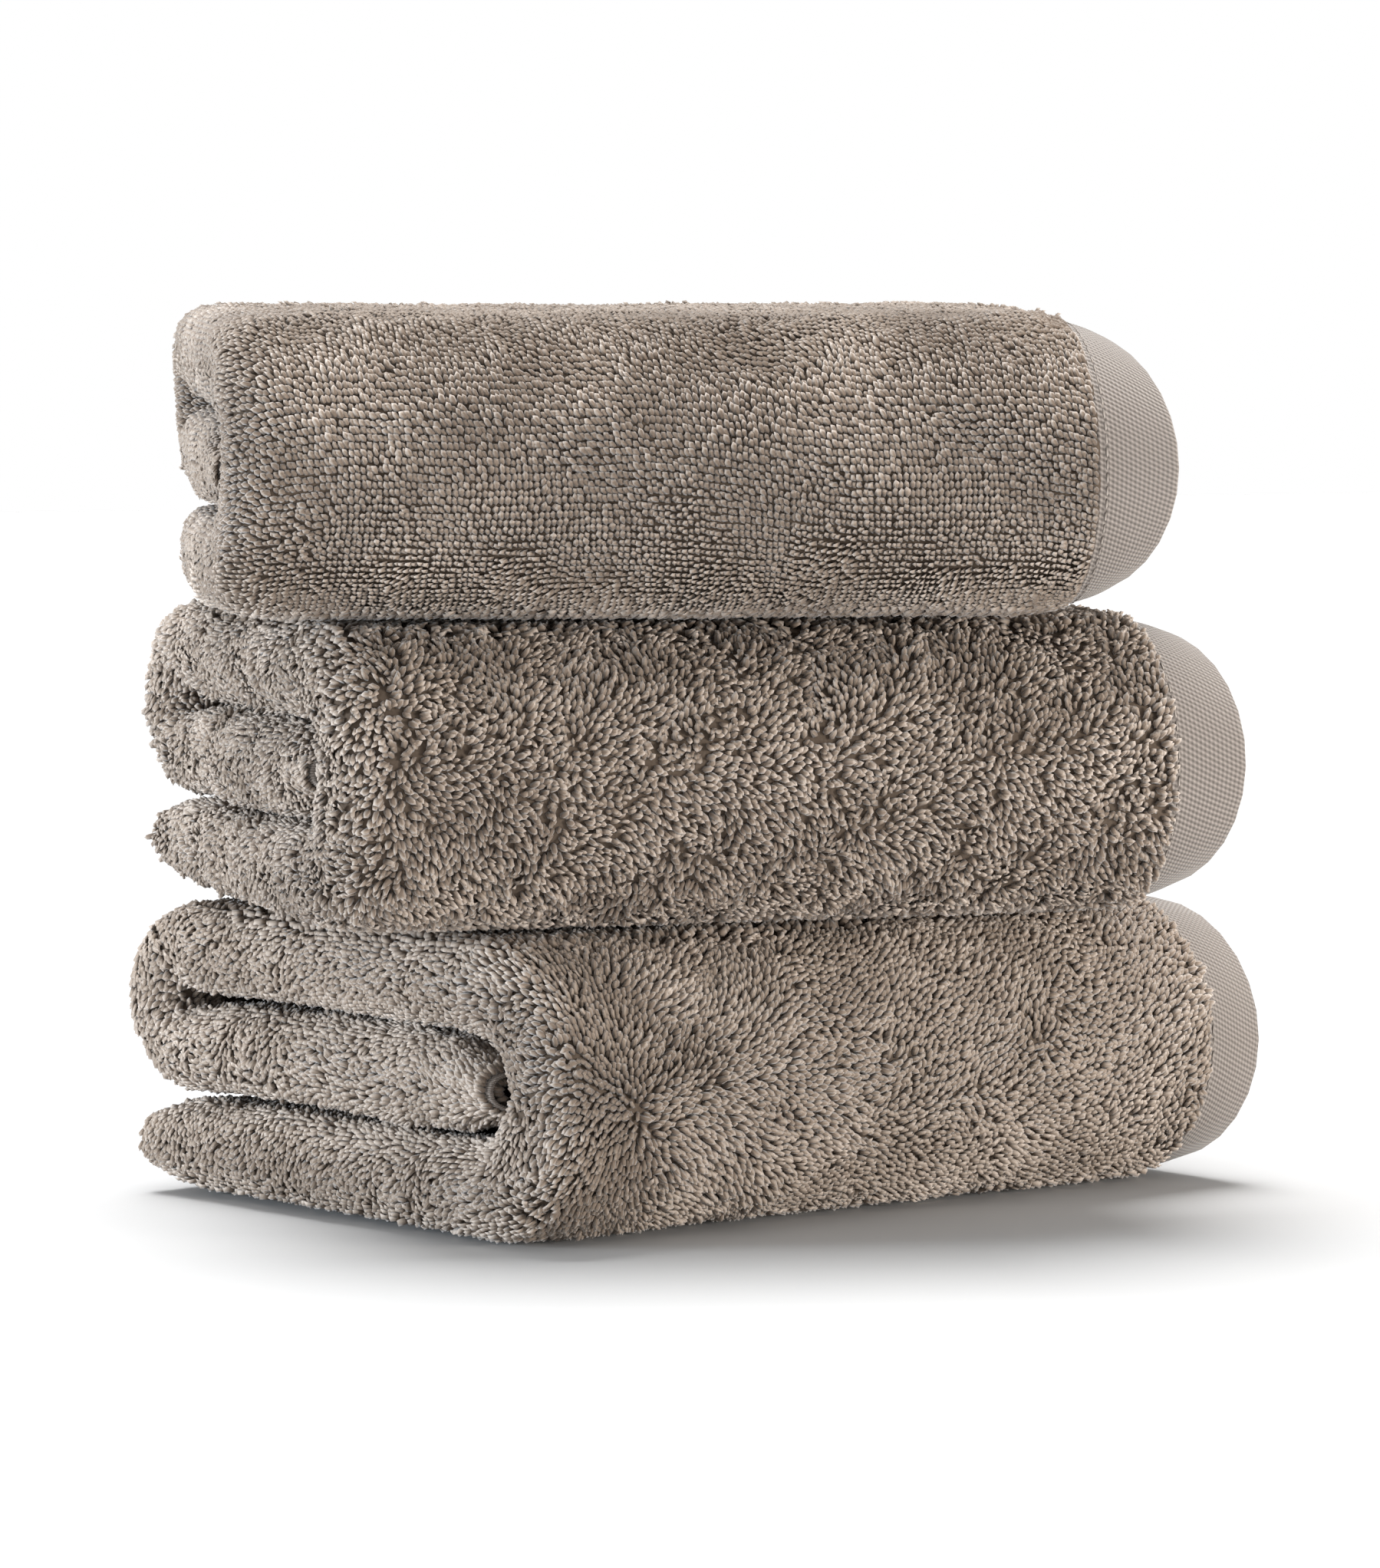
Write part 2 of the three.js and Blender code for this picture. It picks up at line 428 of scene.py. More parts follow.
def folded(along, across, off, towel):
    """Places in the towel's own block, before it softens."""
    along, across, off = np.broadcast_arrays(along, across, off)
    pack, angle = follow(along, (LENGTH, 3.5 * PLY), math.pi, ALONG)
    x = pack[..., 0] + off * np.sin(angle)
    out = pack[..., 1] - off * np.cos(angle) - PACK / 2
    x, out = squared(x, out, NOSE_POWER[towel])
    out = out * (1 - TIP_SQUEEZE * bell(across, TIP_REACH))
    out = out * (1 - LOWER_SQUEEZE * bell(CLOTH_WIDTH - across, LOWER_REACH))
    thinner = BACK_SQUEEZE * bell(across - BACK_AT, BACK_REACH)
    thinner = thinner - FRONT_SWELL * bell(across - FRONT_AT, FRONT_REACH)
    out = PACK / 2 - (PACK / 2 - out) * (1 - thinner)
    section, turn = follow(across, (FRONT_Y - TUCK, MIDDLE_LEVEL), 0.0, ACROSS)
    y = section[..., 0] + out * np.sin(turn)
    z = section[..., 1] - out * np.cos(turn)
    return np.stack([x - LENGTH / 2, y, z], -1)


WAVES = 9
LONGEST, SHORTEST = 0.26, 0.07


def swells(seed):
    """Directions, wave vectors and phases of a few slow waves."""
    rng = np.random.default_rng(seed)
    length = np.geomspace(LONGEST, SHORTEST, WAVES)
    vector = rng.normal(size=(WAVES, 3))
    vector *= (2 * math.pi / length / np.linalg.norm(vector, axis=1))[:, None]
    push = rng.normal(size=(WAVES, 3))
    push *= (length / LONGEST)[:, None] / np.linalg.norm(push, axis=1)[:, None]
    return vector, push, rng.uniform(0, 2 * math.pi, WAVES)


SWELLS = {towel: swells(11 + i) for i, towel in enumerate(TOWELS)}
SWELL_SIZE = 1.7 * MM
NOSE_REACH = 40 * MM
NOSE_LIFT = 4 * MM

# At the hemmed end: how far in it starts to close, how much it closes, and how far its top
# and bottom edges draw back.
END_ROUND = {
    "bottom_towel": (30 * MM, 0.36, 6 * MM),
    "middle_towel": (40 * MM, 0.5, 17 * MM),
    "top_towel": (52 * MM, 0.56, 25 * MM),
}
BOW_REACH = 62 * MM
BOW_FULLNESS = 0.97


def rounded_end(points, towel):
    """The hemmed end, which no weight holds flat: it closes like the end of a loaf."""
    reach, closing, recede = END_ROUND[towel]
    x, z = points[..., 0], points[..., 2]
    near = np.clip((x - LENGTH / 2 + reach) / reach, 0, 1)
    level = np.clip(np.abs(2 * z / HEIGHT - 1), 0, 1)
    bow = np.clip((x - LENGTH / 2 + BOW_REACH) / BOW_REACH, 0, 1)
    made = points.copy()
    made[..., 0] = x - recede * (1 - np.sqrt(1 - BOW_FULLNESS * level**2)) * bow**2
    made[..., 2] = HEIGHT / 2 + (z - HEIGHT / 2) * np.sqrt(1 - (closing * near) ** 2)
    return made


def soften(points, towel):
    """Slow swells, held flat at the top and the bottom, and the rounded end a little lifted."""
    vector, push, phase = SWELLS[towel]
    moved = np.sin(points @ vector.T + phase) @ push * SWELL_SIZE
    level = points[..., 2] / HEIGHT
    moved[..., 2] *= 4 * np.clip(level * (1 - level), 0, 0.25)
    nose = np.clip((points[..., 0] + LENGTH / 2) / NOSE_REACH, 0, 1)
    moved[..., 2] += NOSE_LIFT * (1 - nose) ** 2 * np.clip(1 - level, 0, 1)
    return points + moved


def laid(along, across, off, towel):
    """Places in the row frame."""
    turn, middle = PLACES[towel]
    own = soften(rounded_end(folded(along, across, off, towel), towel), towel)
    return turned(own.reshape(-1, 3), turn).reshape(own.shape) + middle


front = laid(CLOTH_LENGTH / 8, FRONT_AT, PLY / 2, "bottom_towel")
print("a place on the bottom towel's front fold, mm:", (front / MM).round())

# %% [markdown]
# ## Meshes from a grid
# The cloth, the bands and the side hems are all a closed outline, or a closed pair of faces,
# drawn on a grid. One helper turns such a grid into a mesh, and closes it.

# %% Grid helpers


def steps(legs, straight, bent, begin, end):
    """Stations along a line: some in each leg, closer in the bends, from begin to end."""
    found = [begin, end]
    reach = 0.0
    for length, turn in legs:
        count = bent if turn else max(1, round(length / straight))
        found += list(reach + np.linspace(0, length, count, endpoint=False))
        reach += length
    found = np.unique(np.round(found, 6))
    kept = found[(found >= begin - 1e-9) & (found <= end + 1e-9)]
    close = np.diff(kept) < straight / 4
    close[-1] = False
    return kept[np.r_[True, ~close]]


def new_piece(name, points, faces, finish, towel):
    """A mesh object in the row frame that rides with its towel."""
    mesh = bpy.data.meshes.new(name)
    mesh.from_pydata(points.reshape(-1, 3).tolist(), [], faces)
    mesh.polygons.foreach_set("use_smooth", [True] * len(mesh.polygons))
    mesh.materials.append(finish.material)
    mesh.update()
    made = bpy.data.objects.new(name, mesh)
    bpy.context.scene.collection.objects.link(made)
    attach(made, towel)
    return made


def quads(rows, columns, base=0, wrap=False):
    """The faces of a grid of points, row by row."""
    i, j = np.meshgrid(np.arange(rows - 1), np.arange(columns - (not wrap)), indexing="ij")
    here, there = base + i * columns, base + (i + 1) * columns
    k = (j + 1) % columns
    return np.stack([here + j, here + k, there + k, there + j], -1).reshape(-1, 4)


print("stations across the cloth, about 15 mm apart:", len(steps(ACROSS, 15 * MM, 8, 0.0, CLOTH_WIDTH)))

# %% [markdown]
# ## The terry cloth
# This is the ground of the towel, the woven sheet that the loops stand on. It is one closed
# mesh through all four plies and all three layers. It is mostly hidden by its loops, and
# shows only between them, where it lies in shade, so its colour is painted shade: the yarn
# made dark, with a fine weave.

# %% Cloth colours
# The tip colour is the yarn's own. The root and middle colours are that yarn in painted shade, darker
# and browner, for the shade deep in the pile.
YARN_IN_SHADE = (0.085, 0.059, 0.042)
YARN_IN_HALF_SHADE = (0.25, 0.192, 0.146)
YARN_TIP = (0.5, 0.428, 0.37)
BAND_DARK = (0.11, 0.092, 0.079)
BAND_LIGHT = (0.345, 0.301, 0.269)


def scaled(colour, factor):
    return [min(1, part * factor) for part in colour]


# The ground's colour is painted shade: the yarn's shaded colours made darker still, with a fine weave.
ground_finish = Finish("ground_weave_in_painted_shade", Roughness=0.95, Specular_IOR_Level=0.2)
ground_weave_in_painted_shade = ground_finish.noise(900.0)
ground_colour = ground_weave_in_painted_shade.between(scaled(YARN_IN_SHADE, 0.7), scaled(YARN_IN_HALF_SHADE, 0.5))
ground_finish.drive("Base Color", ground_colour)
print(ground_finish.material.name, "has", len(ground_finish.tree.nodes), "nodes")

# %% Weaving the sheets
CLOTH_STEP = 15 * MM
BEND_STEPS = 8


def cloth_sheet(towel):
    """Both faces of the cloth as grids, and a rim round them that closes the mesh."""
    along = steps(ALONG, CLOTH_STEP, BEND_STEPS, END_HEM, CLOTH_LENGTH - END_HEM)
    across = steps(ACROSS, CLOTH_STEP, BEND_STEPS + 5, SIDE_HEM, CLOTH_WIDTH - SIDE_HEM)
    rows, columns = len(along), len(across)
    size = rows * columns
    outer = laid(along[:, None], across[None], GROUND / 2, towel)
    inner = laid(along[:, None], across[None], -GROUND / 2, towel)
    faces = np.concatenate([quads(rows, columns)[:, ::-1], quads(rows, columns, size)])
    ring = np.r_[
        np.arange(columns),
        np.arange(1, rows) * columns + columns - 1,
        (rows - 1) * columns + np.arange(columns - 2, -1, -1),
        np.arange(rows - 2, 0, -1) * columns,
    ]
    following = np.roll(ring, -1)
    rim = np.stack([ring, following, following + size, ring + size], -1)
    faces = np.concatenate([faces, rim])
    return new_piece(
        f"{towel}_terry_cloth_sheet",
        np.concatenate([outer.reshape(-1, 3), inner.reshape(-1, 3)]),
        faces.tolist(),
        ground_finish,
        towel,
    )


sheets = {towel: cloth_sheet(towel) for towel in TOWELS}
for towel, sheet in sheets.items():
    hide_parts(f"{towel}_terry_cloth")
    print(sheet.name, len(sheet.data.polygons), "faces")

# %% [markdown]
# ## The flat-woven bands and the side hems
# The band at each end is woven without loops, in fine ribs, and it shows the diagonal line of
# a twill. The sides are turned over by 9 mm. Each is an outline across the hem, with its ribs
# and its round turned edge, swept along the hem's whole run through the folds. It reaches a
# little way under the pile, so that no gap opens between the two.

# %% The flat-woven bands and hems
RIB = 1.6 * MM
RIB_RISE = 0.22 * MM
BAND_HALF = 1.5 * MM
HEM_ROUND = 5
UNDER_PILE = 0.8 * MM
HEM_GAP = 0.3 * MM
HEM_STEP = 10 * MM
END_BEND_STEPS = 14
TWILL = 1.5

band_finish = Finish("flat_weave", Roughness=0.62, Specular_IOR_Level=0.35, Sheen_Weight=0.25)
rib_across = band_finish.attribute("rib")
rib_along = band_finish.attribute("run")
twill = (rib_along * (2 * math.pi / TWILL) + rib_across * 2.6).sine() * 0.5 + 0.5
ribs = (rib_across * (2 * math.pi)).sine() * 0.5 + 0.5
weave = (twill * 0.65 + ribs * 0.35).clamped()
band_finish.drive("Base Color", weave.between(BAND_DARK, BAND_LIGHT))
band_finish.bump(weave, 0.0005, 0.8)


def profile(width, half):
    """A flat hem's outline: (in from its turned edge, off its middle), once round."""
    count = round(width / (RIB / 2))
    inward = np.linspace(width, half, count)
    ribbed = half + RIB_RISE * (np.arange(count) % 2)
    bend = np.linspace(math.pi / 2, -math.pi / 2, HEM_ROUND)[1:-1]
    edge_in = half - half * np.cos(bend)
    edge_off = half * np.sin(bend)
    return np.r_[inward, edge_in, inward[::-1]], np.r_[ribbed, edge_off, -ribbed[::-1]]


def swept(points, inside_out):
    """Faces of a closed outline swept along the rows of a grid, with both ends closed."""
    rows, columns = points.shape[:2]
    faces = quads(rows, columns, 0, True).tolist()
    for base, last in ((0, False), ((rows - 1) * columns, True)):
        for k in range(columns // 2):
            ring = [base + k, base + k + 1, base + columns - 2 - k, base + columns - 1 - k]
            ring = list(dict.fromkeys(ring))
            faces.append(ring if last else ring[::-1])
    return [face[::-1] for face in faces] if inside_out else faces


def numbers(piece, name, values):
    """A number at each vertex, for the material to read."""
    layer = piece.data.attributes.new(name, "FLOAT", "POINT")
    layer.data.foreach_set("value", np.asarray(values, np.float32).ravel())


def end_hem(towel, side):
    inward, off = profile(END_HEM + UNDER_PILE, BAND_HALF)
    across = steps(ACROSS, HEM_STEP, END_BEND_STEPS, 0.0, CLOTH_WIDTH)
    along = inward if side == "outer" else CLOTH_LENGTH - inward
    points = laid(along[None], across[:, None], off[None], towel)
    faces = swept(points, side == "outer")
    made = new_piece(f"{towel}_{side}_end_band", points, faces, band_finish, towel)
    numbers(made, "rib", np.broadcast_to(inward / RIB, points.shape[:2]))
    numbers(made, "run", np.broadcast_to(across[:, None] / MM, points.shape[:2]))
    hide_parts(f"{towel}_{side}_end_hem")
    return made


def side_hem(towel, side):
    inward, off = profile(SIDE_HEM + UNDER_PILE, BAND_HALF)
    begin = END_HEM + HEM_GAP
    along = steps(ALONG, HEM_STEP, BEND_STEPS, begin, CLOTH_LENGTH - begin)
    across = inward if side == "tucked" else CLOTH_WIDTH - inward
    points = laid(along[:, None], across[None], off[None], towel)
    faces = swept(points, side == "lower")
    made = new_piece(f"{towel}_{side}_side_turning", points, faces, band_finish, towel)
    numbers(made, "rib", np.broadcast_to(inward / RIB, points.shape[:2]))
    numbers(made, "run", np.broadcast_to(along[:, None] / MM, points.shape[:2]))
    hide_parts(f"{towel}_{side}_side_hem")
    return made


hems = {
    towel: [
        end_hem(towel, "outer"),
        end_hem(towel, "inner"),
        side_hem(towel, "tucked"),
        side_hem(towel, "lower"),
    ]
    for towel in TOWELS
}
print("bands and side hems:", sum(len(h.data.polygons) for t in hems.values() for h in t), "faces")

# %% [markdown]
# ## A grain of yarn
# Loops and stitches are both short lengths of yarn that swell in the middle. One such grain
# is modelled from a small sphere with three sides: one ridge, which faces out, and a
# broad base. Its far end is drawn in, because a loop of yarn comes to a rounded tip. It has
# only 9 faces, as there will be well over a hundred thousand of it.

# %% Modelling the grain
bpy.ops.object.select_all(action="DESELECT")
bpy.ops.mesh.primitive_uv_sphere_add(segments=3, ring_count=3, radius=0.5, location=(0, 0, 0.5))
grain = bpy.context.active_object
bpy.ops.object.transform_apply(location=True, rotation=False, scale=False)
bpy.ops.object.mode_set(mode="EDIT")
bpy.ops.mesh.select_all(action="DESELECT")
bpy.ops.object.mode_set(mode="OBJECT")
for vertex in grain.data.vertices:
    vertex.select = 0.6 < vertex.co.z < 0.9
bpy.ops.object.mode_set(mode="EDIT")
bpy.ops.transform.resize(value=(0.86, 0.86, 1), center_override=(0, 0, 0.75))
bpy.ops.object.mode_set(mode="OBJECT")

# With three sides it is narrower than the round sphere, so it is widened to 1 across.
GRAIN = np.array([v.co for v in grain.data.vertices])
GRAIN[:, 0] *= 0.5 / np.abs(GRAIN[:, 0]).max()
GRAIN_STARTS = np.array([f.loop_start for f in grain.data.polygons])
GRAIN_CORNERS = np.array([c.vertex_index for c in grain.data.loops])
GRAIN_UV = np.array([c.uv for c in grain.data.uv_layers.active.data])
bpy.data.objects.remove(grain)
print("a grain has", len(GRAIN), "vertices and", len(GRAIN_STARTS), "faces")

# 1 at the tip and at the two sides of a grain, and less between them. The pile's painted
# highlight and shade follow it.
GRAIN_RIM = np.where(GRAIN[:, 2] > 0.95, 1.0, np.abs(GRAIN[:, 0]) / np.abs(GRAIN[:, 0]).max())

# %% [markdown]
# ## Many grains as one mesh
# A separate object for each loop would be far too slow, so a piece of pile is one mesh that
# repeats the grain's corners. Each grain also gets its own small square of the piece's UV
# map, so that its colours can be baked later.

# %% Many grains as one mesh


def grains(name, points, finish, slot, towel, **values):
    """One mesh of many grains. points is (grains, vertices of a grain, 3), and values likewise."""
    count, size = points.shape[:2]
    mesh = bpy.data.meshes.new(name)
    mesh.vertices.add(count * size)
    mesh.vertices.foreach_set("co", points.astype(np.float32).ravel())
    corners = GRAIN_CORNERS + size * np.arange(count)[:, None]
    mesh.loops.add(corners.size)
    mesh.loops.foreach_set("vertex_index", corners.astype(np.int32).ravel())
    starts = GRAIN_STARTS + len(GRAIN_CORNERS) * np.arange(count)[:, None]
    mesh.polygons.add(starts.size)
    mesh.polygons.foreach_set("loop_start", starts.astype(np.int32).ravel())
    mesh.polygons.foreach_set("use_smooth", np.ones(starts.size, bool))
    side = math.ceil(math.sqrt(count))
    cell = np.stack([np.arange(count) % side, np.arange(count) // side], -1)
    uv = (cell[:, None] + 0.1 + 0.8 * GRAIN_UV[None]) / side
    layer = mesh.uv_layers.new(name="OFBake")
    layer.data.foreach_set("uv", uv.astype(np.float32).ravel())
    mesh.materials.append(finish.material)
    mesh.update(calc_edges=True)
    made = bpy.data.objects.new(name, mesh)
    bpy.context.scene.collection.objects.link(made)
    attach(made, towel)
    for key, value in values.items():
        numbers(made, key, np.broadcast_to(value, (count, size)))
    return made


# %% [markdown]
# ## The rows of stitches
# Each hem is sewn down with one row, close to the edge that it holds. A stitch is a grain laid
# along the row, half sunk in the cloth, with a small hole before the next one.

# %% Sewing the hems
STITCH = 3.6 * MM
STITCH_RISE = 0.1 * MM
STITCH_LENGTH = 3.2 * MM
THREAD_WIDE = 1.0 * MM
THREAD_THICK = 0.7 * MM
THREAD_INSET = 2 * MM
ROW_END = 3 * MM

THREAD_LIGHT = (0.56, 0.50, 0.45)
thread_finish = Finish("sewing_thread", Roughness=0.55, Specular_IOR_Level=0.4)
thread_colour = thread_finish.attribute("twist").between(BAND_DARK, THREAD_LIGHT)
thread_finish.drive("Base Color", thread_colour)


def row_of_stitches(towel, name, begin, end, place):
    """place takes distances along the row and across it to (along, across) on the cloth."""
    centres = np.arange(begin + STITCH / 2, end - STITCH / 2, STITCH)
    run = centres[:, None] + (GRAIN[:, 2] - 0.5) * STITCH_LENGTH
    aside = np.broadcast_to(GRAIN[:, 0] * THREAD_WIDE, run.shape)
    rise = BAND_HALF + STITCH_RISE + GRAIN[:, 1] * THREAD_THICK
    along, across, face = place(run, aside)
    points = laid(along, across, face * rise, towel)
    made = grains(f"{towel}_{name}_stitches", points, thread_finish, "thread", towel, twist=GRAIN[:, 2])
    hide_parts(f"{towel}_{name}_stitching")
    return made


def sew(towel):
    """The four rows of one towel."""
    near_pile = END_HEM - THREAD_INSET - THREAD_WIDE / 2
    near_turn = SIDE_HEM - THREAD_INSET - THREAD_WIDE / 2
    ends = (ROW_END, CLOTH_WIDTH - ROW_END)
    sides = (END_HEM + ROW_END, CLOTH_LENGTH - END_HEM - ROW_END)
    return [
        row_of_stitches(towel, "outer_end", *ends, lambda run, aside: (near_pile - aside, run, 1)),
        row_of_stitches(
            towel, "inner_end", *ends, lambda run, aside: (CLOTH_LENGTH - near_pile + aside, run, -1)
        ),
        row_of_stitches(towel, "tucked_side", *sides, lambda run, aside: (run, near_turn + aside, 1)),
        row_of_stitches(
            towel, "lower_side", *sides, lambda run, aside: (run, CLOTH_WIDTH - near_turn + aside, 1)
        ),
    ]


stitches = {towel: sew(towel) for towel in TOWELS}
print("stitches:", sum(len(s.data.vertices) for t in stitches.values() for s in t) // len(GRAIN))

# %% [markdown]
# ## Where the pile can be seen
# Both faces of the cloth carry pile, but most of it is shut inside the folds, where nobody
# can look. Rays are sent out from the cloth, a coarse patch at a time, and a patch gets its
# loops if at least one ray leaves its own towel. The other towels don't count, because each
# of them can be lifted off.

# %% Looking out from the cloth
PATCH = 8 * MM
LOOK_HEIGHT = 2.2 * MM
TILTS = ((38, 5), (62, 7), (75, 8))


def looks():
    """Directions over a half globe round +Z."""
    found = [(0.0, 0.0, 1.0)]
    for tilt, count in TILTS:
        a = math.radians(tilt)
        for turn in np.arange(count) * 2 * math.pi / count + tilt:
            found.append((math.sin(a) * math.cos(turn), math.sin(a) * math.sin(turn), math.cos(a)))
    return np.array(found)


LOOKS = looks()
SMALL_STEP = 0.4 * MM


def surface(along, across, face, towel):
    """Places on one face of the ground cloth, with the two directions in it and the way out."""
    small = SMALL_STEP
    at = laid(along, across, face * GROUND / 2, towel)
    run = laid(along + small, across, face * GROUND / 2, towel) - at
    out = laid(along, across, face * (GROUND / 2 + small), towel) - at
    out /= np.linalg.norm(out, axis=-1, keepdims=True)
    run -= out * (run * out).sum(-1, keepdims=True)
    run /= np.linalg.norm(run, axis=-1, keepdims=True)
    return at, run, np.cross(out, run), out


def merged_tree(pieces):
    """A search tree of these pieces' faces, for casting rays."""
    points, faces, base = [], [], 0
    for piece in pieces:
        points += [v.co[:] for v in piece.data.vertices]
        faces += [[base + k for k in f.vertices] for f in piece.data.polygons]
        base += len(piece.data.vertices)
    return BVHTree.FromPolygons(points, faces)


def open_patches(towel, tree):
    """For each face of the cloth, which patches can be seen from outside the towel."""
    along = np.arange(END_HEM, CLOTH_LENGTH - END_HEM + PATCH, PATCH)
    across = np.arange(SIDE_HEM, CLOTH_WIDTH - SIDE_HEM + PATCH, PATCH)
    found = {}
    for face in (1, -1):
        at, run, side, out = surface(
            *np.broadcast_arrays(
                np.minimum(along, CLOTH_LENGTH - END_HEM)[:, None],
                np.minimum(across, CLOTH_WIDTH - SIDE_HEM)[None],
            ),
            face,
            towel,
        )
        seen = np.zeros(at.shape[:2], bool)
        start = at + out * LOOK_HEIGHT
        for i, j in np.ndindex(seen.shape):
            origin = Vector(start[i, j])
            for x, y, z in LOOKS:
                way = Vector(run[i, j] * x + side[i, j] * y + out[i, j] * z)
                if tree.ray_cast(origin, way)[0] is None:
                    seen[i, j] = True
                    break
        found[face] = seen
    return found


trees = {towel: merged_tree([sheets[towel], *hems[towel]]) for towel in TOWELS}
patches = {towel: open_patches(towel, trees[towel]) for towel in TOWELS}
for towel in TOWELS:
    print(towel, "open patches on both faces:", [int(p.sum()) for p in patches[towel].values()])

# %% [markdown]
# ## The pile
# A plush loop is about 6 mm of soft yarn that can't stand up by itself, so it leans, and its
# neighbours lean with it. Hands and washing leave slow swirls in the nap. Every loop here
# takes its way from one such field, then strays a little. The top towel is the neatest. The
# bottom one is brushed away from its plump front corner, and the middle one is ruffled.

# %% How each towel's pile lies
# length, wide and patch are in mm, and lean is in degrees from upright. stray is how far single
# loops differ, swirl how far patches do, and tint runs from 0, dark, to 1, light. The three towels
# are of one yarn, so their different tints are painted light and shade: the bottom towel is painted
# lighter and the top one darker, as the light falls on them.
PILE = {
    "bottom_towel": dict(length=6.8, wide=3.0, lean=69, stray=0.24, swirl=0.32, patch=70, tint=0.95),
    "middle_towel": dict(length=6.0, wide=3.0, lean=56, stray=0.4, swirl=0.6, patch=45, tint=0.42),
    "top_towel": dict(length=5.6, wide=2.8, lean=59, stray=0.12, swirl=0.22, patch=60, tint=0.16),
}
STAGGER = {"bottom_towel": 0.5, "middle_towel": 0.5, "top_towel": 0.1}
LOOP_THICK = 0.72
LOOP_ROLL = 1.2
BARE_EDGE = 0.5 * MM
SEEN_PITCH = 2.05 * MM
BACK_PITCH = 2.9 * MM
PRESSED_PITCH = 3.3 * MM
ROW_APART = 1.36
LOOPS_IN_PIECE = 15000
FIELD_WAVES = 10


def field(points, seed, longest, shortest):
    """A slow random value, about -1 to 1, at each point."""
    rng = np.random.default_rng(seed)
    length = np.geomspace(longest, shortest, FIELD_WAVES)
    vector = rng.normal(size=(FIELD_WAVES, 3))
    vector *= (2 * math.pi / length / np.linalg.norm(vector, axis=1))[:, None]
    weight = np.sqrt(length / longest)
    waves = np.sin(points @ vector.T + rng.uniform(0, 2 * math.pi, FIELD_WAVES))
    return waves @ weight / np.sqrt((weight**2).sum() / 2)


def own_frame(points, towel):
    """Places in a towel's own block, from places in the row frame."""
    turn, middle = PLACES[towel]
    return turned(points - middle, -turn)


LEFT_END = 30 * MM
PLUMP_CORNER = np.array([-LENGTH / 2 + 42 * MM, -DEPTH / 2 + 8 * MM, HEIGHT * 0.48])
PLUMP_REACH = 110 * MM
CORNER_PULL = 1.6
HANG_LEFT = np.array([-0.6, 0, -0.35])
COMBED = {
    "bottom_towel": (np.array([0.7, 0, 0.5]), np.array([0.7, 0, 0.5])),
    "middle_towel": (np.array([0.3, 0, -0.9]), np.array([0.3, 0, 0.9])),
    "top_towel": (np.array([-0.45, 0, 0.75]), np.array([-0.45, 0, 0.75])),
}


def near_corner(own, towel):
    """1 at the bottom towel's plump front corner, falling to 0, and 0 on the other towels."""
    if towel != "bottom_towel":
        return np.zeros(len(own))
    return np.exp(-((np.linalg.norm(own - PLUMP_CORNER, axis=1) / PLUMP_REACH) ** 2))


def combed(own, towel):
    """Which way the loops at these places lean, before the swirls."""
    left = np.clip((-LENGTH / 2 + LEFT_END - own[:, 0]) / LEFT_END, 0, 1)[:, None]
    level = np.clip(own[:, 2] / HEIGHT, 0, 1)[:, None]
    low, high = COMBED[towel]
    way = (low * (1 - level) + high * level) * (1 - left) + HANG_LEFT * left
    near = near_corner(own, towel)[:, None]
    apart = own - PLUMP_CORNER
    outward = apart / (np.linalg.norm(apart, axis=1)[:, None] + 4 * MM)
    return way * (1 - near) + near * CORNER_PULL * outward


print("loops are", [round(p / MM, 2) for p in (SEEN_PITCH, BACK_PITCH, PRESSED_PITCH)], "mm apart")

# %% [markdown]
# ## Where the loops stand
# Terry is woven in rows, so the loops stand in rows too. Bends stretch the outside of the
# cloth, and the rows are therefore spaced along the real surface. Loops that are seen stand
# closest together. At the back, and where a towel bears on the next one, they are coarser.

# %% Places for the loops
STATIONS = 420


def sites(towel, face, pitch, rng):
    """Places of loops over one face of the cloth, in rows that are as far apart on every bend."""
    line = np.linspace(END_HEM, CLOTH_LENGTH - END_HEM, 4 * STATIONS)
    at = laid(line, np.full(len(line), FRONT_AT), face * GROUND / 2, towel)
    gone = np.r_[0, np.cumsum(np.linalg.norm(np.diff(at, axis=0), axis=1))]
    along = np.interp(np.arange(pitch / 2, gone[-1] - pitch / 3, pitch), gone, line)
    across = np.linspace(BARE_EDGE, CLOTH_WIDTH - BARE_EDGE, STATIONS)
    at = laid(along[:, None], across[None], face * GROUND / 2, towel)
    gone = np.cumsum(np.linalg.norm(np.diff(at, axis=1), axis=-1), axis=1)
    gone = np.concatenate([np.zeros((len(along), 1)), gone], axis=1)
    found = []
    for k, u in enumerate(along):
        row = pitch * ROW_APART
        start = row * (0.25 + STAGGER[towel] * (k % 2))
        rows = np.arange(start, gone[k, -1] - row / 4, row)
        found.append(np.stack([np.full(len(rows), u), np.interp(rows, gone[k], across)]))
    u, w = np.concatenate(found, axis=1)
    seen = patches[towel][face]
    i = np.rint((u - END_HEM) / PATCH).astype(int).clip(0, seen.shape[0] - 1)
    j = np.rint((w - SIDE_HEM) / PATCH).astype(int).clip(0, seen.shape[1] - 1)
    kept = seen[i, j]
    u, w = u[kept], w[kept]
    loose = PILE[towel]["stray"] * pitch * 0.5
    return u + rng.normal(0, loose, u.shape), w + rng.normal(0, loose, w.shape)


SEEN, BACK, PRESSED = 0, 1, 2
PITCHES = {SEEN: SEEN_PITCH, BACK: BACK_PITCH, PRESSED: PRESSED_PITCH}
UP_BACK = 60 * MM
FLAT_ZONE = 6 * MM
LIP = 12 * MM


def covered(towel, at):
    """Whether the towel above lies over these places."""
    above = TOWELS.index(towel) + 1
    if above == len(TOWELS):
        return np.zeros(len(at), bool)
    own = own_frame(at, TOWELS[above])
    return (np.abs(own[:, 0]) < LENGTH / 2 - LIP) & (np.abs(own[:, 1]) < DEPTH / 2 - LIP)


